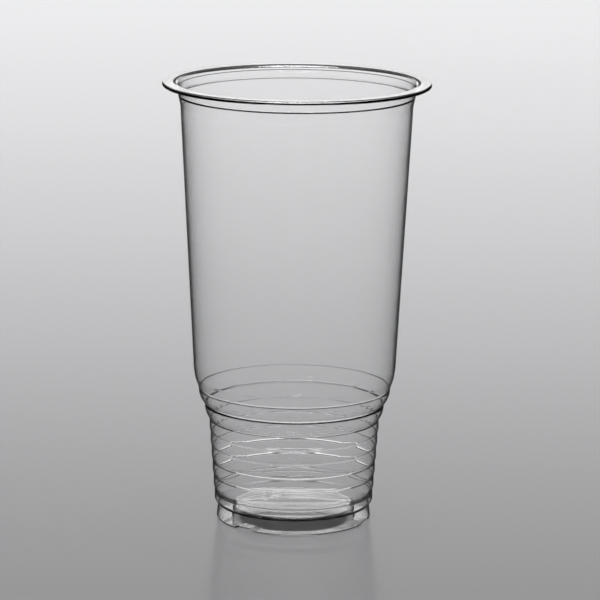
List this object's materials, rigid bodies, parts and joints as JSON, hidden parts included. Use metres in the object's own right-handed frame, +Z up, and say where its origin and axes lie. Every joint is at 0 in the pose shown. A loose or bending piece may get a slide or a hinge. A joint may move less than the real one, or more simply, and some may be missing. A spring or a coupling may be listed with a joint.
{
  "type": "plastic disposable cup",
  "caption": "Tall clear thin-walled plastic cold-drink cup with a tapered wall, stacking rings near the foot, a raised base, air notches and a flat rolled rim; open at the top.",
  "frame": {"origin": "middle of the surface the cup stands on", "axes": "+Z up along the cup's axis towards the open rim, -Y towards the viewer of the picture"},
  "size_m": [0.107, 0.107, 0.178],
  "materials": {
    "clear_plastic": "clear and glossy, colourless, see-through"
  },
  "bodies": {
    "root": {"cup": "clear_plastic"}
  },
  "joints": []
}
